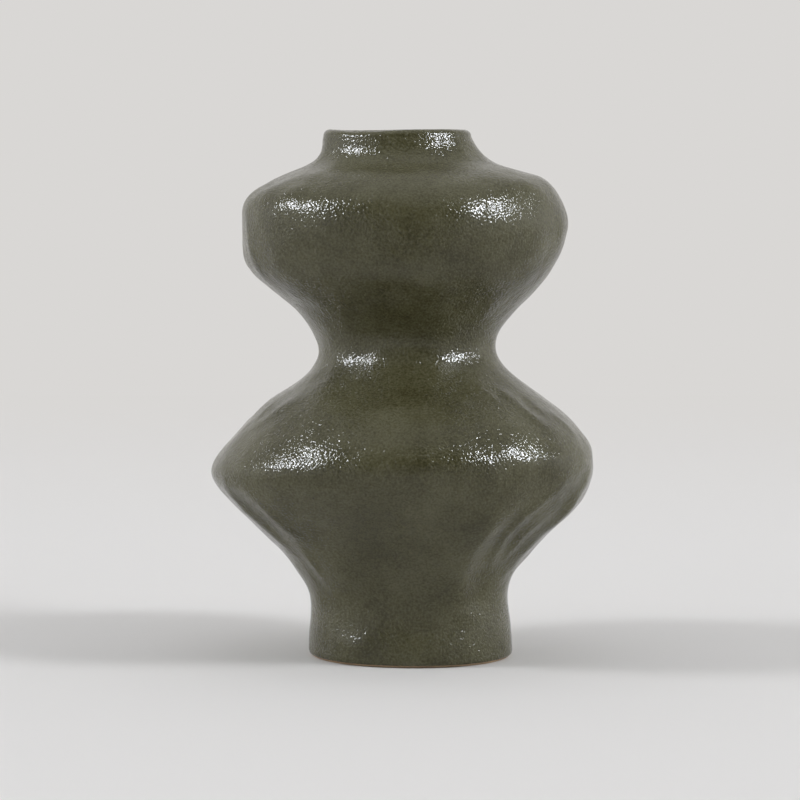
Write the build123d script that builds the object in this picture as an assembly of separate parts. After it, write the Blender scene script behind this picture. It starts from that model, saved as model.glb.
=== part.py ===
from build123d import *
import os

import numpy as np

# A hand-built stoneware vase: two pinched lobes on a drum foot, with a short neck.
#
# The pot is built up from a base slab and six wall sections. Each section stands on the rim below it,
# and a coil of soft clay, pressed into a rebate on the inside of each seam, ties the two together.
# A thick glaze coats the outside from just above the table to the lip, where it gathers in a bead.
# A thin one lines the inside.
#
# Millimetres. +Z is up, -Y is the front and +X is the front's right hand. The origin lies on the table,
# under the middle of the lower belt, which is the widest ring.

# Heights of the wall sections, from the table up
foot_height = 27.4
lower_bowl_height = 64.4
lower_shoulder_height = 59.0
upper_bowl_height = 62.7
upper_shoulder_height = 31.7
neck_height = 14.8

# Outside widths of the rings that part the sections, and how far each ring's middle leans to +X
foot_width = 101.4
foot_lean = 4.4
ankle_width = 97.8
ankle_lean = 3.7
lower_belt_width = 188.8
waist_width = 87.5
waist_lean = 3.2
upper_belt_width = 161.2
upper_belt_lean = 1.7
neck_root_width = 86.0
neck_root_lean = 0.9
lip_width = 71.6
lip_lean = -2.3

# How far the lower belt and the waist rise at the front
lower_belt_rise = 8.0
waist_rise = 3.0

# Rounded edges, where the pot meets the table and round the mouth
foot_round = 2.4
lip_round = 2.6

# Clay
clay_wall = 5.2
base_thickness = 9.0
foot_ring_width = 9.0
foot_recess_depth = 2.5
coil_depth = 2.6
coil_height = 7.0

# Glaze
glaze_coat = 0.8
lip_coat = 2.2
lining_coat = 0.5
bare_band_height = 1.2

# Plan of every ring: depth over width, how square it is, how far it is drawn out towards the right front,
# and how quickly its rise at the front fades to the sides
depth_share = 0.97
square_power = 2.12
skew_share = 0.015
rise_power = 1.5

# Shallow hollows that the maker's hands left, at their deepest
press_depth = 2.2

# The wall's thickness is kept square to it up to this slope, run over rise
steepest_share = 2.0

# One overrun serves every cut
overrun = 10.0

# Rings that the wall is drawn through, and points on each
ring_count = 46
ring_points = 20
coil_rings = 4
lip_rings = 6

# How far above and below a ring its slope is read
slope_probe = 2.0

# The outline of each section: share of its height, then the share of the way from the ring below to the
# ring above, on the left and on the right
foot_wall_shares = ((0.0, 0.0, 0.0), (0.46, 0.82, 0.24), (0.75, 1.05, 0.68))
lower_bowl_shares = (
    (0.0, 0.0, 0.0),
    (0.09, 0.036, 0.008),
    (0.206, 0.128, 0.076),
    (0.392, 0.323, 0.313),
    (0.547, 0.523, 0.542),
    (0.672, 0.688, 0.761),
    (0.795, 0.84, 0.895),
    (0.906, 0.967, 0.967),
)
lower_shoulder_shares = (
    (0.0, 0.0, 0.0),
    (0.115, 0.051, 0.0),
    (0.215, 0.139, 0.017),
    (0.317, 0.238, 0.099),
    (0.451, 0.378, 0.254),
    (0.585, 0.541, 0.468),
    (0.72, 0.762, 0.691),
    (0.854, 0.927, 0.889),
    (0.932, 0.985, 0.965),
)
upper_bowl_shares = (
    (0.0, 0.0, 0.0),
    (0.084, 0.031, 0.0),
    (0.21, 0.154, 0.094),
    (0.337, 0.328, 0.286),
    (0.462, 0.57, 0.506),
    (0.589, 0.813, 0.692),
    (0.714, 0.951, 0.828),
    (0.841, 0.99, 0.928),
)
upper_shoulder_shares = (
    (0.0, 0.0, 0.0),
    (0.219, 0.008, 0.031),
    (0.431, 0.084, 0.106),
    (0.616, 0.308, 0.223),
    (0.741, 0.538, 0.365),
    (0.863, 0.778, 0.692),
)
neck_shares = (
    (0.0, 0.0, 0.0),
    (0.24, 0.615, 0.456),
    (0.5, 0.82, 0.709),
    (0.77, 0.95, 0.94),
    (1.0, 1.0, 1.0),
)

# The rounded foot: share of its height, then share of its inset
foot_edge_shares = ((0.0, 1.0), (0.3, 0.3), (1.0, 0.0))

# Hollows: section, share of its height, degrees round from the front to the right, spread in degrees,
# spread as a share of the section's height, and share of the full depth
press_shares = (
    ("lower_bowl", 0.5, 60.0, 20.0, 0.32, 1.0),
    ("lower_bowl", 0.42, -62.0, 18.0, 0.3, 0.8),
    ("lower_bowl", 0.45, 4.0, 30.0, 0.36, 0.55),
    ("lower_bowl", 0.52, 146.0, 24.0, 0.3, 0.9),
    ("lower_bowl", 0.4, -140.0, 22.0, 0.34, 0.8),
    ("lower_shoulder", 0.42, 66.0, 18.0, 0.26, 0.7),
    ("lower_shoulder", 0.46, -58.0, 20.0, 0.26, 0.75),
    ("lower_shoulder", 0.12, 24.0, 18.0, 0.3, 0.6),
    ("lower_shoulder", 0.4, 168.0, 26.0, 0.3, 0.7),
    ("upper_bowl", 0.52, -42.0, 22.0, 0.28, 0.6),
    ("upper_bowl", 0.48, 38.0, 24.0, 0.28, 0.55),
    ("upper_bowl", 0.5, 128.0, 24.0, 0.3, 0.7),
    ("upper_bowl", 0.56, -150.0, 22.0, 0.28, 0.6),
    ("upper_shoulder", 0.05, -19.0, 19.0, 0.6, 0.8),
    ("upper_shoulder", 0.05, 52.0, 19.0, 0.6, 0.8),
    ("upper_shoulder", 0.5, 96.0, 24.0, 0.4, 0.4),
    ("upper_shoulder", 0.55, -112.0, 24.0, 0.4, 0.4),
)


def sides(width, lean=0.0):
    """How far a ring reaches to the left and to the right of the axis."""
    return np.array((width / 2 - lean, width / 2 + lean))


foot_sides = sides(foot_width, foot_lean)
ankle_sides = sides(ankle_width, ankle_lean)
lower_belt_sides = sides(lower_belt_width)
waist_sides = sides(waist_width, waist_lean)
upper_belt_sides = sides(upper_belt_width, upper_belt_lean)
neck_root_sides = sides(neck_root_width, neck_root_lean)
lip_sides = sides(lip_width, lip_lean)

# Heights of the seams between the sections
foot_seam = foot_height
lower_belt_seam = foot_seam + lower_bowl_height
waist_seam = lower_belt_seam + lower_shoulder_height
upper_belt_seam = waist_seam + upper_bowl_height
neck_seam = upper_belt_seam + upper_shoulder_height
pot_height = neck_seam + neck_height
clay_top = pot_height - lip_coat

# Heights of the rings, and how far each one rises at the front
ring_heights = np.array((0, foot_seam, lower_belt_seam, waist_seam, upper_belt_seam, neck_seam, pot_height))
ring_rises = np.array((0, 0, lower_belt_rise, waist_rise, 0, 0, 0))

# Every wall section, from the table up: bottom, height, ring below, ring above, outline
sections = {
    "foot_wall": (0, foot_height, foot_sides, ankle_sides, foot_wall_shares),
    "lower_bowl": (foot_seam, lower_bowl_height, ankle_sides, lower_belt_sides, lower_bowl_shares),
    "lower_shoulder": (lower_belt_seam, lower_shoulder_height, lower_belt_sides, waist_sides,
                       lower_shoulder_shares),
    "upper_bowl": (waist_seam, upper_bowl_height, waist_sides, upper_belt_sides, upper_bowl_shares),
    "upper_shoulder": (upper_belt_seam, upper_shoulder_height, upper_belt_sides, neck_root_sides,
                       upper_shoulder_shares),
    "neck_collar": (neck_seam, neck_height, neck_root_sides, lip_sides, neck_shares),
}

# Middles of the coils that tie the seams; the lowest sits on the base slab
coil_middles = {
    "base_seam_coil": base_thickness + coil_height / 2,
    "foot_seam_coil": foot_seam,
    "lower_belt_seam_coil": lower_belt_seam,
    "waist_seam_coil": waist_seam,
    "upper_belt_seam_coil": upper_belt_seam,
    "neck_seam_coil": neck_seam,
}

# Directions round a ring, from +X, and the same counted from the front to the right
around = np.linspace(0, 2 * np.pi, ring_points, endpoint=False)
from_front = np.degrees(around) + 90


def outline_rows():
    """Rows of height, middle and half width, from the table to the lip."""
    rows = []
    for bottom, height, low, high, shares in sections.values():
        for up, left_share, right_share in shares:
            left, right = low + np.array((left_share, right_share)) * (high - low)
            rows.append((bottom + up * height, (right - left) / 2, (right + left) / 2))
    return np.array(rows)


def smooth_curve(places, values, wanted):
    """Values at the wanted places on a smooth curve through the given ones."""
    slopes = np.gradient(values, places)
    below = np.clip(np.searchsorted(places, wanted, side="right") - 1, 0, len(places) - 2)
    step = places[below + 1] - places[below]
    t = (wanted - places[below]) / step
    start = (1 + 2 * t) * (1 - t) ** 2 * values[below] + t * (1 - t) ** 2 * step * slopes[below]
    end = t**2 * (3 - 2 * t) * values[below + 1] - t**2 * (1 - t) * step * slopes[below + 1]
    return start + end


def plan_reach():
    """Reach of a ring of half width 1 in each direction: a rounded square, drawn out a little one way."""
    across = np.abs(np.cos(around)) ** square_power
    deep = (np.abs(np.sin(around)) / depth_share) ** square_power
    return (across + deep) ** (-1 / square_power) * (1 - skew_share * np.sin(2 * around))


def press_hollows(heights):
    """Depth of the hand-pressed hollows, height by height and direction by direction."""
    hollows = np.zeros((len(heights), ring_points))
    for name, up, azimuth, spread, height_share, share in press_shares:
        bottom, height, *_ = sections[name]
        turn = (from_front - azimuth + 180) % 360 - 180
        rise = heights - bottom - up * height
        side_fade = np.exp(-((turn / spread) ** 2))
        height_fade = np.exp(-((rise / (height_share * height)) ** 2))
        hollows += share * press_depth * np.outer(height_fade, side_fade)
    return hollows


def ring_wire(reach, middle, height):
    """One closed, smooth ring through points at the given reach from its middle."""
    across = middle + reach * np.cos(around)
    deep = reach * np.sin(around)
    points = [Vector(x, y, height) for x, y in zip(across.tolist(), deep.tolist())]
    places = np.linspace(0, 1, ring_points + 1).tolist()
    return Wire([Edge.make_spline(points, periodic=True, parameters=places)])


def glazed_reaches(heights):
    """Middles of the rings at the given heights, and how far the glaze reaches from the axis there."""
    rows = outline_rows()
    middles = smooth_curve(rows[:, 0], rows[:, 1], heights)
    front_fade = np.clip(-np.sin(around), 0, 1) ** rise_power
    rises = np.outer(smooth_curve(ring_heights, ring_rises, heights), front_fade)
    half_widths = smooth_curve(rows[:, 0], rows[:, 2], heights[:, None] - rises)
    reaches = half_widths * plan_reach() - press_hollows(heights)
    return middles, reaches + np.outer(middles, np.cos(around))


def ring_wires(heights, depth):
    """Rings at the given heights, depth inside the glazed surface and square to the wall."""
    middles, reaches = glazed_reaches(heights)
    below = np.clip(heights - slope_probe, 0, pot_height)
    above = np.clip(heights + slope_probe, 0, pot_height)
    rises = glazed_reaches(above)[1] - glazed_reaches(below)[1]
    slopes = np.clip(rises / (above - below)[:, None], -steepest_share, steepest_share)
    insets = np.transpose(depth * np.sqrt(1 + slopes.T**2))
    reaches = reaches - np.outer(middles, np.cos(around)) - insets
    return [ring_wire(*ring) for ring in zip(reaches, middles.tolist(), heights.tolist())]


def skin(depth, bottom, top):
    """The pot between two heights, as a full solid whose surface lies depth inside the glazed one."""
    return Solid.make_loft(ring_wires(np.linspace(bottom, top, ring_count), depth))


def layer(bottom, top):
    """Everything between two heights."""
    breadth = lower_belt_width + upper_belt_width
    block = Box(breadth, breadth, top - bottom, align=(Align.CENTER, Align.CENTER, Align.MIN))
    return Pos(0, 0, bottom) * block


def lipped_skin(depth, bottom, top, radius):
    """A skin with its top edge rounded."""
    turns = np.linspace(0, np.pi / 2, lip_rings)
    heights = top - radius * (1 - np.sin(turns))
    lip = Solid.make_loft(ring_wires(heights, depth + radius * (1 - np.cos(turns))))
    return skin(depth, bottom, top - radius) + lip


def side_face(solid):
    """The wall of a skin, without its flat ends."""
    return solid.faces().filter_by(GeomType.PLANE, reverse=True)[0]


def floor_form():
    """The floor without its recess, rounded at the table."""
    edge_heights, edge_insets = np.transpose(foot_edge_shares) * (foot_round - glaze_coat)
    heights = np.append(edge_heights, base_thickness)
    return Solid.make_loft(ring_wires(heights, glaze_coat + np.append(edge_insets, 0)), ruled=True)


def foot_recess():
    """The shallow recess under the floor, which leaves a ring to stand on."""
    reach = foot_width / 2 * plan_reach() - foot_round - foot_ring_width
    return extrude(Face(ring_wire(reach, foot_lean, -overrun)), overrun + foot_recess_depth, dir=(0, 0, 1))


def lining(cavity, hollow):
    """The coat between the clay and the hollow, closed under the floor and at the mouth."""
    wall_wires = [cavity.faces().sort_by(Axis.Z)[end].outer_wire() for end in (0, -1)]
    hollow_wires = [hollow.faces().sort_by(Axis.Z)[end].outer_wire() for end in (0, -1)]
    floors = [Face(wall_wires[0]), Face(hollow_wires[0])]
    rim = Face(wall_wires[1], [hollow_wires[1]])
    return Solid(Shell([side_face(cavity), side_face(hollow), *floors, rim]))


def build():
    """Every piece of the pot by name."""
    floor = floor_form()
    glazed = lipped_skin(0, bare_band_height, pot_height, lip_round)
    clay = lipped_skin(glaze_coat, base_thickness, clay_top, lip_round - glaze_coat)
    cavity = skin(glaze_coat + clay_wall, base_thickness, clay_top)
    hollow = skin(glaze_coat + clay_wall + lining_coat, base_thickness + lining_coat, clay_top)
    mouth = extrude(hollow.faces().sort_by(Axis.Z)[-1], overrun, dir=(0, 0, 1))

    pieces = {"base_slab": floor - foot_recess()}
    pieces["outer_glaze"] = glazed - [clay, floor, mouth]
    pieces["inner_glaze"] = lining(cavity, hollow)

    coil_beds = {}
    for name, middle in coil_middles.items():
        heights = np.linspace(middle - coil_height / 2, middle + coil_height / 2, coil_rings)
        coil_beds[name] = Solid.make_loft(ring_wires(heights, glaze_coat + clay_wall - coil_depth))
        pieces[name] = coil_beds[name] - cavity
    walls = clay - [cavity, *coil_beds.values()]
    for name, (bottom, height, *_) in sections.items():
        pieces[name] = walls & layer(max(bottom, base_thickness), bottom + height)
    return pieces


os.makedirs("parts", exist_ok=True)
for piece_name, piece in build().items():
    export_step(piece, f"parts/{piece_name}.step")
    print(piece_name, "solids", len(piece.solids()), "volume", round(piece.volume))
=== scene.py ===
import math

import bpy
import numpy as np
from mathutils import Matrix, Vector
from mathutils.bvhtree import BVHTree


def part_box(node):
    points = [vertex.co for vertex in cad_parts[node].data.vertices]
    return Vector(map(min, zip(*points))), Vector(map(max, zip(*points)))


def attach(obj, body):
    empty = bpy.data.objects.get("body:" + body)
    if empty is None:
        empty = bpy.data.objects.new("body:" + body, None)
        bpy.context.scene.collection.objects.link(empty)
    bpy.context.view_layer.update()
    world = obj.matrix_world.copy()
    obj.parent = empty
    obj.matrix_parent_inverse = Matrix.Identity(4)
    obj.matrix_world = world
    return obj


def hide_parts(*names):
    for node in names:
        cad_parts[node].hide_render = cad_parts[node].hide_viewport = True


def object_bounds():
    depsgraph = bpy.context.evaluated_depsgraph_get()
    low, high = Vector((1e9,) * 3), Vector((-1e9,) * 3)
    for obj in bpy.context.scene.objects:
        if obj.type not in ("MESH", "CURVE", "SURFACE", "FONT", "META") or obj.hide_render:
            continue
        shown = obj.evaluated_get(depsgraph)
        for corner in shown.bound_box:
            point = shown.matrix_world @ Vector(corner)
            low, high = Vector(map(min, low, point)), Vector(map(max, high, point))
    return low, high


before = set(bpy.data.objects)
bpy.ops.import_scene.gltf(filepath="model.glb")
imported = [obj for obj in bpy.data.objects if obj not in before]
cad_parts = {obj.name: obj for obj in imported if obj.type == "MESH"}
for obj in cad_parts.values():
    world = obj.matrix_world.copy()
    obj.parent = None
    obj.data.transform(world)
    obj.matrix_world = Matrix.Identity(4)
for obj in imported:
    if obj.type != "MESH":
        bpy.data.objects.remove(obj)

# A hand-built, olive-glazed vase with two lobes, on a pale sweep.
# The frame is in metres, and lengths in the tables are millimetres.
# Turns in the tables are degrees from the front to the right.

MM = 0.001
cad_box = [list(corner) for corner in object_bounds()]
rng = np.random.default_rng(7)


# Reading the frame

AXIS_X = 0.0015
FAR = 0.3


def node_tree(node):
    """A ray-casting tree of a CAD node."""
    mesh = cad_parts[node].data
    corners = [v.co.copy() for v in mesh.vertices]
    return BVHTree.FromPolygons(corners, [tuple(p.vertices) for p in mesh.polygons])


def ray_lengths(tree, heights, turns, start, sign):
    """Lengths of level rays to a node, at each height and turn.

    They start at a distance from the axis and run outward (sign 1) or inward (sign -1).
    A ray that misses takes its length from its row's other rays.
    """
    lengths = np.full((len(heights), len(turns)), np.nan)
    for j, turn in enumerate(turns):
        way = Vector((math.sin(turn), -math.cos(turn), 0))
        for i, height in enumerate(heights):
            middle = Vector((AXIS_X, 0, height))
            length = tree.ray_cast(middle + way * start, way * sign)[3]
            if length is not None:
                lengths[i, j] = length
    places = np.arange(len(turns))
    for row in lengths:
        missed = np.isnan(row)
        if missed.any():
            row[missed] = np.interp(places[missed], places[~missed], row[~missed])
    return lengths


def outer_reach(tree, heights, turns):
    """How far a node's outside reaches from the axis, at each height and turn."""
    return FAR - ray_lengths(tree, heights, turns, FAR, -1)


def inner_reach(tree, heights, turns):
    """How far a node's hollow reaches from the axis, at each height and turn."""
    return ray_lengths(tree, heights, turns, 0, 1)


def bell(spread):
    """A Gaussian's weights, and how many of them lie to each side of the middle one."""
    span = int(3 * spread) + 1
    weights = np.exp(-0.5 * (np.arange(-span, span + 1) / spread) ** 2)
    return weights / weights.sum(), span


def blur(grid, across, along=0):
    """Gaussian blur of a grid that closes on itself across, and keeps its end rows along."""
    weights, span = bell(across)
    grid = sum(w * np.roll(grid, k - span, axis=1) for k, w in enumerate(weights))
    if along > 0:
        weights, span = bell(along)
        before = 2 * grid[:1] - grid[span:0:-1]
        after = 2 * grid[-1:] - grid[-2:-span - 2:-1]
        padded = np.concatenate((before, grid, after))
        grid = sum(w * padded[k:k + len(grid)] for k, w in enumerate(weights))
    return grid


def even_rows(heights, reach, step):
    """Heights that part the mean outline into even steps along its length."""
    lengths = np.hypot(np.diff(heights), np.diff(reach))
    along = np.concatenate(((0,), np.cumsum(lengths)))
    count = int(round(along[-1] / step)) + 1
    return np.interp(np.linspace(0, along[-1], count), along, heights)


# Relief

LATTICE_SIZE = 48
LATTICE = rng.random((LATTICE_SIZE, LATTICE_SIZE, LATTICE_SIZE))
STROKE_ENDS = 0.08


def noise(points, size):
    """Smooth noise from -1 to 1 at points in space, with features about size across."""
    scaled = points / size
    cell = np.floor(scaled).astype(int)
    t = scaled - cell
    t = t * t * t * (t * (6 * t - 15) + 10)
    total = 0
    for step in np.ndindex(2, 2, 2):
        weight = np.where(step, t, 1 - t).prod(axis=-1)
        x, y, z = np.moveaxis((cell + step) % LATTICE_SIZE, -1, 0)
        total = total + weight * LATTICE[x, y, z]
    return 2 * total - 1


def layered_noise(points, layers):
    """Noise in layers of height, size in millimetres and shift."""
    return sum(height * noise(points + shift, size * MM) for height, size, shift in layers)


def turn_gap(turns, turn):
    """Degrees from one turn to others, the short way round."""
    return (turns - turn + 180) % 360 - 180


def stroke(turns, heights, reach, points, width, depth, left_width=None):
    """A ridge (or, where depth is under zero, a groove) along points of turn and height.

    It fades at its ends, and its left can be wider or narrower than its right.
    """
    best = np.full(turns.shape, 1e9)
    fade = np.zeros(turns.shape)
    side = np.zeros(turns.shape)
    scale = math.pi / 180 * reach / MM
    spans = list(zip(points, points[1:]))
    whole = sum(math.dist(*span) for span in spans)
    done = 0
    for (turn_a, height_a), (turn_b, height_b) in spans:
        length = math.hypot(turn_b - turn_a, height_b - height_a)
        ax = turn_gap(turns, turn_a) * scale
        ay = heights / MM - height_a
        bx = turn_gap(turn_b, turn_a) * scale
        by = height_b - height_a
        t = np.clip((ax * bx + ay * by) / (bx * bx + by * by), 0, 1)
        gap = np.hypot(ax - t * bx, ay - t * by)
        nearer = gap < best
        best = np.where(nearer, gap, best)
        side = np.where(nearer, ax - t * bx, side)
        along = STROKE_ENDS + (1 - 2 * STROKE_ENDS) * (done + t * length) / whole
        fade = np.where(nearer, np.sin(math.pi * along), fade)
        done += length
    leftness = 0.5 - 0.5 * side / np.maximum(best, 1e-6)
    widths = width + ((left_width or width) - width) * leftness
    return depth * MM * fade * np.exp(-((best / widths) ** 2))


# Ridges and grooves that fingers left: points of turn and height, width, depth
# and, where it differs, the width on the left
STROKES = (
    # right side of the lower bowl
    (((36, 92), (30, 80), (28, 70), (25, 58), (25, 46), (27, 34), (30, 18)), 9.0, 5.5, 22.0),
    (((56, 91), (49, 84), (43, 76), (41, 66), (43, 55), (47, 46)), 3.5, 1.0),
    (((48, 74), (47, 65), (47, 57)), 3.0, -0.8),
    (((56, 72), (53, 65), (53, 53)), 3.0, 0.8),
    (((72, 90), (68, 80), (66, 66), (64, 50)), 7.0, 1.9),
    (((62, 86), (58, 78)), 5.0, -0.7),
    # left side of the lower bowl
    (((-55, 82), (-51, 72), (-50, 62)), 5.0, 1.2),
    (((-52, 56), (-51, 48), (-49, 40)), 4.5, 1.2),
    (((-40, 56), (-38, 46), (-37, 36)), 16.0, 1.8, 8.0),
    (((-36, 80), (-34, 68), (-36, 54)), 9.0, -0.7),
    (((-70, 88), (-69, 72), (-67, 54)), 6.0, 1.2),
    (((-61, 76), (-61, 58)), 4.0, -0.7),
    # shoulders above the lower belt
    (((46, 135), (48, 129), (50, 123), (55, 118)), 4.0, 0.8),
    (((54, 131), (56, 121)), 4.5, -0.9),
    (((64, 122), (70, 114)), 4.0, 0.6),
    (((36, 134), (40, 129)), 3.0, 0.4),
    (((-67, 119), (-58, 126), (-47, 131)), 4.0, 0.8),
    (((-74, 121), (-64, 128)), 4.5, -0.9),
    (((-42, 124), (-28, 117)), 4.0, 0.4),
    # upper lobe
    (((-73, 218), (-71, 201), (-68, 186)), 5.0, 0.7),
    (((-62, 206), (-58, 192)), 6.0, -0.6),
    (((60, 214), (66, 207)), 5.0, -0.9),
    (((52, 206), (62, 199)), 5.0, 0.5),
    (((30, 146), (25, 157), (20, 167), (14, 176), (12, 186), (14, 198)), 12.0, 3.0, 18.0),
    (((-26, 174), (-10, 175), (4, 177)), 6.0, 1.8),
    (((-72, 228), (-54, 234), (-46, 238)), 5.0, 0.5),
    (((40, 236), (58, 232)), 5.0, 0.4),
    # waist
    (((-66, 151), (-33, 152), (0, 152), (33, 152), (66, 151)), 6.0, 0.6),
    # lower belt
    (((-60, 98), (-33, 102), (-1, 104), (28, 104), (60, 101)), 4.0, 0.3),
    # foot
    (((-44, 11), (-31, 10), (-18, 11)), 5.0, 1.6),
    (((22, 26), (36, 25), (50, 26)), 5.0, 0.6),
    # back
    (((150, 80), (148, 62), (152, 44)), 5.0, 0.9),
    (((-128, 78), (-132, 60), (-130, 46)), 5.0, 0.9),
    (((168, 70), (172, 52)), 5.0, -0.8),
    (((132, 126), (142, 116)), 5.0, 0.8),
    (((-150, 124), (-160, 112)), 5.0, 0.8),
    (((160, 210), (164, 190)), 6.0, 0.7),
)

# Lumps of the wall and the coarse part of the grain: height, size and shift of each layer of noise
LUMPS = ((0.45, 19, 0), (0.28, 10, 3))
PEEL = ((0.05, 4.2, 5), (0.04, 2.6, 9))
LINING_PEEL = ((0.06, 4, 5),)

# Where the lip dips: turn, width in degrees and depth
LIP_DIPS = ((-38, 24, 1.3), (120, 40, 0.5), (-140, 34, 0.6))


# Meshes

def grid_mesh(name, points, poles=False):
    """A closed mesh from rows of points.

    Rows close on themselves, and so do the columns unless they end at poles.
    """
    rows, columns, _ = points.shape
    corners = points.reshape(-1, 3)
    index = np.arange(rows * columns).reshape(rows, columns)
    right = np.roll(index, -1, axis=1)
    if poles:
        quads = np.stack((index[:-1], right[:-1], right[1:], index[1:]), axis=-1)
    else:
        up = np.roll(index, -1, axis=0)
        up_right = np.roll(right, -1, axis=0)
        quads = np.stack((index, right, up_right, up), axis=-1)
    faces = quads.reshape(-1, 4).tolist()
    if poles:
        first = len(corners)
        corners = np.concatenate((corners, [points[0].mean(0), points[-1].mean(0)]))
        faces += [(first, int(b), int(a)) for a, b in zip(index[0], right[0])]
        faces += [(first + 1, int(a), int(b)) for a, b in zip(index[-1], right[-1])]
    mesh = bpy.data.meshes.new(name)
    mesh.from_pydata(corners.tolist(), [], faces)
    mesh.shade_smooth()
    mesh.update()
    piece = bpy.data.objects.new(name, mesh)
    bpy.context.scene.collection.objects.link(piece)
    return piece


def level_rows(heights, columns):
    """A grid with one height in each row."""
    return np.repeat(heights[:, None], columns, 1)


def ring_points(turns, reach, heights):
    """Points in space for a grid of reaches and heights."""
    return np.stack((AXIS_X + reach * np.sin(turns), -reach * np.cos(turns), heights), axis=-1)


def outward(points):
    """Unit normals of a grid of points whose rows close on themselves."""
    across = np.roll(points, -1, axis=1) - np.roll(points, 1, axis=1)
    along = np.gradient(points, axis=0)
    normals = np.cross(across, along)
    return normals / np.maximum(np.linalg.norm(normals, axis=-1, keepdims=True), 1e-12)


def quarter_round(share):
    """A quarter circle's drop: 1 where the share is 0, and 0 where it is 1."""
    return 1 - np.sqrt(1 - (1 - share) ** 2)


# Outer glaze: the outside, the lip and the top of the mouth

COLUMNS = 720
ROW_STEP = 0.9 * MM
ROUGH_ROWS = 160
ROUGH_STRIDE = 90
BACK_STRIDE = 6
REACH_BLUR = (4.0, 1.2)
MOUTH_BLUR = 8.0
MOUTH_PROBE = 1.5 * MM
FIRST_ROW = 0.05 * MM
GLAZE_COAT = 0.8 * MM
DEEPEST = 0.6 * MM
LIP_DROP = 3.4 * MM
LIP_STEPS = 16
LIP_ROUNDNESS = 0.9
MOUTH_DEPTHS = np.linspace(0.6, 3.0, 5) * MM
WAVE_START = 0.247
INNER_CALM = 0.7
LIP_CALM = 0.6
FOOT_FADE = 6 * MM
EDGE_HEIGHT = 1.6 * MM
EDGE_DROP = 0.45 * MM

glaze_low, glaze_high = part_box("outer_glaze")
glaze_tree = node_tree("outer_glaze")
lining_tree = node_tree("inner_glaze")
turns = np.linspace(0, 2 * math.pi, COLUMNS, endpoint=False)
lip_bottom = glaze_high.z - LIP_DROP

rough_heights = np.linspace(glaze_low.z + FIRST_ROW, lip_bottom, ROUGH_ROWS)
rough_reach = outer_reach(glaze_tree, rough_heights, turns[::ROUGH_STRIDE]).mean(1)
rows = even_rows(rough_heights, rough_reach, ROW_STEP)
reach = blur(outer_reach(glaze_tree, rows, turns), *REACH_BLUR)
mouth_heights = np.array([glaze_high.z - MOUTH_PROBE])
mouth_reach = blur(inner_reach(glaze_tree, mouth_heights, turns), MOUTH_BLUR)[0]

# Over the lip: half an ellipse from the outside to the mouth
lip_turn = np.linspace(0, math.pi, LIP_STEPS)[1:]
lip_half = (reach[-1] - mouth_reach) / 2
lip_reach = mouth_reach + lip_half * (1 + np.cos(lip_turn)[:, None])
lip_heights = level_rows(lip_bottom + LIP_DROP * np.sin(lip_turn) ** LIP_ROUNDNESS, COLUMNS)
mouth_rows = lip_bottom - MOUTH_DEPTHS
mouth_wall = blur(inner_reach(lining_tree, mouth_rows, turns), MOUTH_BLUR)

lip_start = len(reach)
mouth_start = lip_start + len(lip_reach)
all_reach = np.concatenate((reach, lip_reach, mouth_wall))
all_heights = np.concatenate((
    level_rows(rows, COLUMNS),
    lip_heights,
    level_rows(mouth_rows, COLUMNS),
))
degrees = np.broadcast_to(np.degrees(turns), all_reach.shape)

# The lip dips most at the front left, and less on its inner edge
wave = sum(
    depth * np.exp(-((turn_gap(degrees, turn) / width) ** 2))
    for turn, width, depth in LIP_DIPS
)
rise = np.clip((all_heights - WAVE_START) / (glaze_high.z - WAVE_START), 0, 1)
inner = np.zeros(all_reach.shape)
inner[lip_start:mouth_start] = np.clip(-np.cos(lip_turn), 0, 1)[:, None]
inner[mouth_start:] = 1
all_heights = all_heights - wave * MM * rise**2 * (3 - 2 * rise) * (1 - INNER_CALM * inner)

surface = ring_points(turns, all_reach, all_heights)
normals = outward(surface)

# Hand marks, lumps and the coarse part of the glaze's grain
outside = np.ones((len(all_reach), 1))
outside[lip_start + LIP_STEPS // 2:] = 0
marks = np.zeros(all_reach.shape)
for points, *shape in STROKES:
    marks += stroke(degrees, all_heights, all_reach, points, *shape)
lumps = layered_noise(surface, LUMPS)
peel = layered_noise(surface, PEEL)
foot_fade = np.clip((all_heights - glaze_low.z) / FOOT_FADE, 0, 1)
lip_fade = 1 - LIP_CALM * rise
relief = marks * outside + lumps * MM * foot_fade * lip_fade * outside + peel * MM
relief = np.where(relief < 0, -DEEPEST * np.tanh(-relief / DEEPEST), relief)
front = surface + normals * relief[..., None]

# The glaze rounds off where it stops above the bare foot
edge = np.clip((all_heights - glaze_low.z) / EDGE_HEIGHT, 0, 1)
front -= normals * (EDGE_DROP * quarter_round(edge))[..., None]

# Nothing reaches past the vase's own box
front = np.clip(front, cad_box[0], cad_box[1])

last_row = len(front) - 1
back_rows = np.unique(np.append(np.arange(0, len(front), BACK_STRIDE), last_row))[::-1]
back = (surface - normals * GLAZE_COAT)[back_rows]
back[-1, :, 2] = front[0, :, 2]
outer_glaze = grid_mesh("outer_glaze_coat", np.concatenate((front, back)))

# Lining: the mouth, the hollow and the floor

LINING_COAT = 0.5 * MM
LINING_COLUMNS = 180
LINING_ROWS = 150
LINING_BLUR = (2.0, 1.5)
LINING_LAP = 0.2 * MM
WALL_END = 0.6 * MM
CORNER_RADIUS = 5 * MM
CORNER_SHARE = 0.8
FLOOR_RINGS = np.linspace(0.96, 0.03, 24)
FLOOR_LIFT = 0.02 * MM

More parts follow.
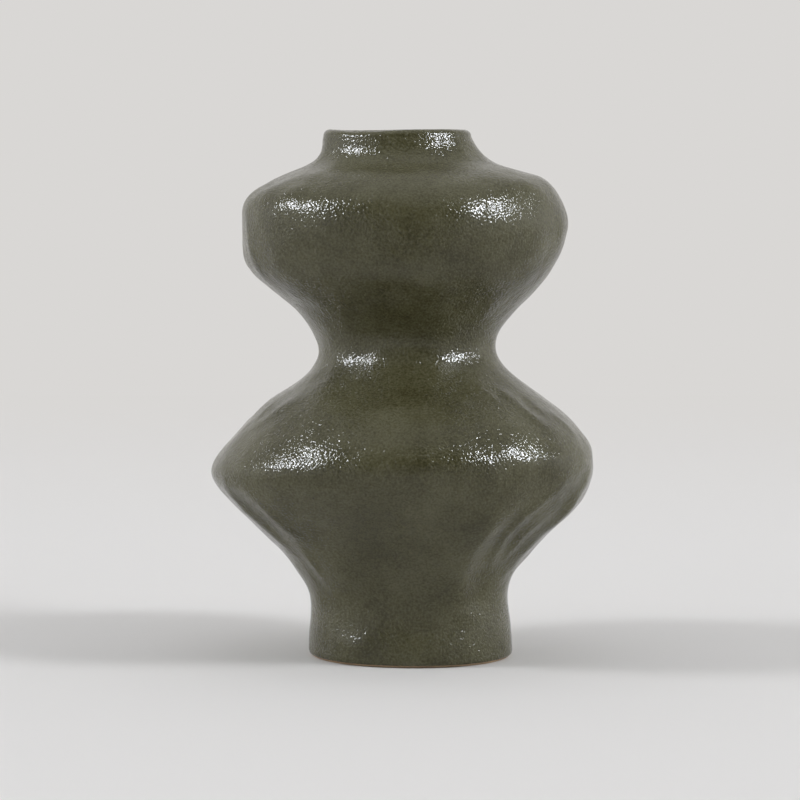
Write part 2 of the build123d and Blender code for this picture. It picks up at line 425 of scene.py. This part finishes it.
lining_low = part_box("inner_glaze")[0]
lining_turns = np.linspace(0, 2 * math.pi, LINING_COLUMNS, endpoint=False)
floor_top = lining_low.z + LINING_COAT
lining_heights = np.linspace(mouth_rows[-1] + LINING_LAP, floor_top + WALL_END, LINING_ROWS)
hollow = blur(inner_reach(lining_tree, lining_heights, lining_turns), *LINING_BLUR)
near_floor = np.clip((lining_heights - floor_top) / CORNER_RADIUS, 0, 1)[:, None]
hollow = hollow - CORNER_RADIUS * quarter_round(near_floor) * CORNER_SHARE
floor_reach = hollow[-1] * FLOOR_RINGS[:, None]
floor_heights = np.full(floor_reach.shape, floor_top + FLOOR_LIFT)
lining_front = ring_points(
    lining_turns,
    np.concatenate((hollow, floor_reach)),
    np.concatenate((level_rows(lining_heights, LINING_COLUMNS), floor_heights)),
)
lining_normals = outward(lining_front)
lining_back = lining_front - lining_normals * LINING_COAT
lining_front += lining_normals * (layered_noise(lining_front, LINING_PEEL) * MM)[..., None]
lining_points = np.concatenate((lining_back[::-1], lining_front))
inner_glaze = grid_mesh("inner_glaze_coat", lining_points, poles=True)


# Materials

GRAIN_SHARE = 0.9
GRIT_SHARPNESS = 6.0
GRIT_SHARE = 3.0
SMOOTHER, ROUGHER = -0.05, 0.08


def new_material(name):
    """An empty node material with its shader."""
    material = bpy.data.materials.new(name)
    material.use_nodes = True
    tree = material.node_tree
    return material, tree, tree.nodes["Principled BSDF"]


def add_node(tree, kind, **values):
    """A node with its properties and input values set."""
    node = tree.nodes.new(kind)
    for key, value in values.items():
        if key in node.inputs:
            node.inputs[key].default_value = value
        else:
            setattr(node, key, value)
    return node


def texture(tree, where, kind, output, **values):
    """A texture's output, at coordinates from a socket."""
    node = add_node(tree, kind, **values)
    tree.links.new(where, node.inputs["Vector"])
    return node.outputs[output]


def split(tree, vector):
    """A vector's parts, by name."""
    node = add_node(tree, "ShaderNodeSeparateXYZ")
    tree.links.new(vector, node.inputs["Vector"])
    return node.outputs


def reckon(tree, operation, *values):
    """A sum, product or the like of sockets and plain numbers."""
    node = add_node(tree, "ShaderNodeMath", operation=operation)
    for place, value in zip(node.inputs, values):
        if isinstance(value, bpy.types.NodeSocket):
            tree.links.new(value, place)
        else:
            place.default_value = value
    return node.outputs["Value"]


def spread(tree, source, start, end, low=0.0, high=1.0, kind="SMOOTHSTEP"):
    """A socket's value, taken from one range to another."""
    node = add_node(tree, "ShaderNodeMapRange", interpolation_type=kind)
    ends = {"From Min": start, "From Max": end, "To Min": low, "To Max": high}
    for key, value in ends.items():
        node.inputs[key].default_value = value
    tree.links.new(source, node.inputs["Value"])
    return node.outputs["Result"]


def mix_shaders(tree, share, first, second):
    """Two shaders mixed by a socket's share of the second."""
    node = add_node(tree, "ShaderNodeMixShader")
    for place, source in zip(node.inputs, (share, first, second)):
        tree.links.new(source, place)
    return node.outputs["Shader"]


def ramp(tree, source, stops):
    """A colour ramp fed by a socket."""
    node = tree.nodes.new("ShaderNodeValToRGB")
    while len(node.color_ramp.elements) < len(stops):
        node.color_ramp.elements.new(0.5)
    for element, (place, colour) in zip(node.color_ramp.elements, stops):
        element.position = place
        element.color = (*colour, 1)
    tree.links.new(source, node.inputs["Fac"])
    return node.outputs["Color"]


def add_bump(tree, shader, height, strength, distance):
    """Fine relief of a shader from a socket's height."""
    bump = add_node(tree, "ShaderNodeBump", Strength=strength, Distance=distance)
    tree.links.new(height, bump.inputs["Height"])
    tree.links.new(bump.outputs["Normal"], shader.inputs["Normal"])


def glaze_material(name, deep, mid, thin, roughness, grain):
    """A semi-gloss glaze that breaks lighter where it is thin, with painted light that makes faces
    turned upward paler, and an orange-peel grain.
    """
    material, tree, shader = new_material(name)
    coordinates = add_node(tree, "ShaderNodeTexCoord").outputs
    where = coordinates["Object"]
    noise_kind = "ShaderNodeTexNoise"
    cloud = texture(tree, where, noise_kind, "Fac", Scale=38.0, Detail=4.0, Roughness=0.6)
    speck = texture(tree, where, noise_kind, "Fac", Scale=900.0, Detail=1.0, Roughness=0.5)
    fine = texture(tree, where, noise_kind, "Fac", Scale=1100.0, Detail=1.0, Roughness=0.5)
    grit = texture(tree, where, noise_kind, "Fac", Scale=900.0, Detail=0.0)
    cells = texture(tree, where, "ShaderNodeTexVoronoi", "Distance",
                    feature="SMOOTH_F1", Scale=900.0, Smoothness=0.8)

    # Paler in fine specks, and paler on the shoulders as painted light, where faces turned upward
    # catch more light
    upward = split(tree, coordinates["Normal"])["Z"]
    # Painted light: the colour shifts paler as the surface turns upward
    painted_top_light = spread(tree, upward, 0.15, 0.5, -0.63, -0.57)
    thinness_and_painted_light = reckon(tree, "ADD", reckon(tree, "ADD", cloud, speck), painted_top_light)
    shade = ramp(tree, thinness_and_painted_light, ((0.1, deep), (0.38, mid), (0.66, thin)))
    tree.links.new(shade, shader.inputs["Base Color"])
    rough = spread(tree, cloud, 0.0, 1.0, roughness + SMOOTHER, roughness + ROUGHER, kind="LINEAR")
    tree.links.new(rough, shader.inputs["Roughness"])

    # Grain of small cells, with sharper grit on it
    grain_height = reckon(tree, "MULTIPLY_ADD", fine, GRAIN_SHARE, cells)
    peaks = reckon(tree, "POWER", grit, GRIT_SHARPNESS)
    height = reckon(tree, "MULTIPLY_ADD", peaks, GRIT_SHARE, grain_height)
    add_bump(tree, shader, height, strength=grain, distance=0.4 * MM)
    shader.inputs["IOR"].default_value = 1.43
    return material


def clay_material(name, dark, pale):
    """Bare fired clay: matt, speckled and a little sandy."""
    material, tree, shader = new_material(name)
    where = add_node(tree, "ShaderNodeTexCoord").outputs["Object"]
    noise_kind = "ShaderNodeTexNoise"
    cloud = texture(tree, where, noise_kind, "Fac", Scale=60.0, Detail=5.0, Roughness=0.6)
    grit = texture(tree, where, noise_kind, "Fac", Scale=1400.0, Detail=3.0, Roughness=0.6)
    shade = ramp(tree, cloud, ((0.3, dark), (0.7, pale)))
    tree.links.new(shade, shader.inputs["Base Color"])
    shader.inputs["Roughness"].default_value = 0.85
    add_bump(tree, shader, grit, strength=0.4, distance=0.3 * MM)
    return material


olive = glaze_material(
    "olive_glaze",
    deep=(0.042, 0.039, 0.016),
    mid=(0.071, 0.067, 0.032),
    thin=(0.1, 0.096, 0.052),
    roughness=0.1,
    grain=0.5,
)
lining = glaze_material(
    "lining_glaze",
    deep=(0.03, 0.028, 0.014),
    mid=(0.042, 0.04, 0.022),
    thin=(0.06, 0.058, 0.034),
    roughness=0.3,
    grain=0.3,
)
clay = clay_material("bare_clay", dark=(0.3, 0.2, 0.12), pale=(0.5, 0.36, 0.22))
coil_clay = clay_material("coil_clay", dark=(0.28, 0.19, 0.12), pale=(0.46, 0.33, 0.21))

outer_glaze.data.materials.append(olive)
inner_glaze.data.materials.append(lining)
for node_name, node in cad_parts.items():
    node.data.materials.clear()
    node.data.materials.append(coil_clay if "coil" in node_name else clay)

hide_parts("outer_glaze")
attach(outer_glaze, "root")
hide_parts("inner_glaze")
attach(inner_glaze, "root")


# Floor and backdrop in one sweep

FRONT_EDGE = -3.5
BEND_START = 1.9
BEND_RADIUS = 0.6
SWEEP_TOP = 3.0
HALF_WIDTH = 4.0
FLOOR_STEPS = 6
BEND_STEPS = 24
PAPER = (0.735, 0.725, 0.708, 1)
BACKDROP = (0.694, 0.68, 0.665, 1)
DARK_PAPER = (0.05, 0.05, 0.05, 1)

# Where the floor turns into the backdrop, and where its front darkens along and across
GLOW_START, GLOW_END = 0.35, 1.7
DARK_START, DARK_END = -0.32, -0.7
DARK_SIDE, DARK_MIDDLE = 0.34, 0.06


def sweep_paper():
    """Pale paper that the camera sees as an even backdrop behind the vase."""
    material, tree, shader = new_material("sweep_paper")
    shader.inputs["Base Color"].default_value = PAPER
    shader.inputs["Roughness"].default_value = 0.9
    shader.inputs["Specular IOR Level"].default_value = 0.1
    where = split(tree, add_node(tree, "ShaderNodeTexCoord").outputs["Object"])
    path = add_node(tree, "ShaderNodeLightPath").outputs

    # The middle of the floor's front throws little light back at the vase
    dark = add_node(tree, "ShaderNodeBsdfDiffuse", Color=DARK_PAPER)
    along = spread(tree, where["Y"], DARK_START, DARK_END)
    across = spread(tree, reckon(tree, "ABSOLUTE", where["X"]), DARK_SIDE, DARK_MIDDLE)
    unseen = reckon(tree, "SUBTRACT", 1.0, path["Is Camera Ray"])
    shaded = reckon(tree, "MULTIPLY", reckon(tree, "MULTIPLY", unseen, along), across)
    floor = mix_shaders(tree, shaded, shader.outputs["BSDF"], dark.outputs["BSDF"])

    # Far behind the vase the paper shows one colour, in reflections too
    glow = add_node(tree, "ShaderNodeEmission", Color=BACKDROP)
    seen = path["Is Camera Ray"]
    for kind in ("Is Glossy Ray", "Is Transmission Ray"):
        seen = reckon(tree, "MAXIMUM", seen, path[kind])
    share = reckon(tree, "MULTIPLY", seen, spread(tree, where["Y"], GLOW_START, GLOW_END))
    whole = mix_shaders(tree, share, floor, glow.outputs["Emission"])
    tree.links.new(whole, tree.nodes["Material Output"].inputs["Surface"])
    return material


def sweep():
    """A pale floor that curves up into a backdrop."""
    outline = [(FRONT_EDGE, 0.0)]
    outline += [(BEND_START * k / FLOOR_STEPS, 0.0) for k in range(FLOOR_STEPS + 1)]
    for k in range(1, BEND_STEPS + 1):
        turn = math.pi / 2 * k / BEND_STEPS
        y = BEND_START + BEND_RADIUS * math.sin(turn)
        outline.append((y, BEND_RADIUS * (1 - math.cos(turn))))
    outline.append((BEND_START + BEND_RADIUS, SWEEP_TOP))
    corners = [(x, y, z) for y, z in outline for x in (-HALF_WIDTH, HALF_WIDTH)]
    faces = [(2 * k, 2 * k + 1, 2 * k + 3, 2 * k + 2) for k in range(len(outline) - 1)]
    mesh = bpy.data.meshes.new("sweep")
    mesh.from_pydata(corners, [], faces)
    mesh.shade_smooth()
    mesh.materials.append(sweep_paper())
    piece = bpy.data.objects.new("sweep", mesh)
    bpy.context.scene.collection.objects.link(piece)
    return piece


sweep()


# Light

SOFTBOX_DISTANCE = 8.0
SOFTBOX_RISE = math.radians(33)
SOFTBOX_AIM = Vector((0, 0, 0.13))
SOFTBOX_SIZE = (1.9, 0.9)
GLINT_SIZE = (3.2, 1.3)
SOFTBOX_COLOUR = (0.96, 0.97, 1.0)
GLINT_COLOUR = (0.89, 0.93, 1.0)
ROOM_COLOUR = (0.98, 0.98, 1.0, 1)

# Side, turn, power of the softbox and power of its glint
LAMPS = (
    ("left", -80, 208.0, 720.0),
    ("right", 68, 256.0, 980.0),
)


def softbox(name, turn, size, colour, power):
    """An area lamp at one side, raised, that faces the vase."""
    lamp = bpy.data.lights.new(name, "AREA")
    lamp.shape = "RECTANGLE"
    lamp.size, lamp.size_y = size
    lamp.energy = power
    lamp.color = colour
    piece = bpy.data.objects.new(name, lamp)
    bpy.context.scene.collection.objects.link(piece)
    level = math.cos(SOFTBOX_RISE)
    way = Vector((math.sin(turn) * level, -math.cos(turn) * level, math.sin(SOFTBOX_RISE)))
    piece.location = SOFTBOX_AIM + way * SOFTBOX_DISTANCE
    piece.rotation_mode = "QUATERNION"
    piece.rotation_quaternion = way.to_track_quat("Z", "Y")
    return piece


for side, turn, power, glint_power in LAMPS:
    way_round = math.radians(turn)
    softbox(side + "_softbox", way_round, SOFTBOX_SIZE, SOFTBOX_COLOUR, power)
    # A glint shows in the glaze alone
    glint = softbox(side + "_glint", way_round, GLINT_SIZE, GLINT_COLOUR, glint_power)
    glint.visible_diffuse = False


def room():
    """A room that is bright low at both sides and overhead, and dark in front and behind."""
    world = bpy.data.worlds.new("room")
    world.use_nodes = True
    tree = world.node_tree
    way = split(tree, add_node(tree, "ShaderNodeTexCoord").outputs["Generated"])
    sides = spread(tree, reckon(tree, "ABSOLUTE", way["X"]), 0.15, 0.85, 0.05, 1.0)
    low_down = spread(tree, way["Z"], 0.15, 0.6, 1.25, 0.45)
    overhead = spread(tree, way["Z"], 0.55, 1.0, 0.0, 0.72)
    background = tree.nodes["Background"]
    background.inputs["Color"].default_value = ROOM_COLOUR
    level = reckon(tree, "MULTIPLY_ADD", sides, low_down, overhead)
    tree.links.new(level, background.inputs["Strength"])
    return world


bpy.context.scene.world = room()


# Camera at the lip's height, tipped down a little

CAMERA_PITCH = 4.52

camera_data = bpy.data.cameras.new("camera")
camera_data.sensor_width = 36.0
camera_data.lens = 154.2
camera = bpy.data.objects.new("camera", camera_data)
bpy.context.scene.collection.objects.link(camera)
camera.location = (-0.0008, -1.69, 0.26)
camera.rotation_euler = (math.radians(90 - CAMERA_PITCH), 0, 0)
bpy.context.scene.camera = camera
bpy.context.scene.view_settings.view_transform = "Standard"
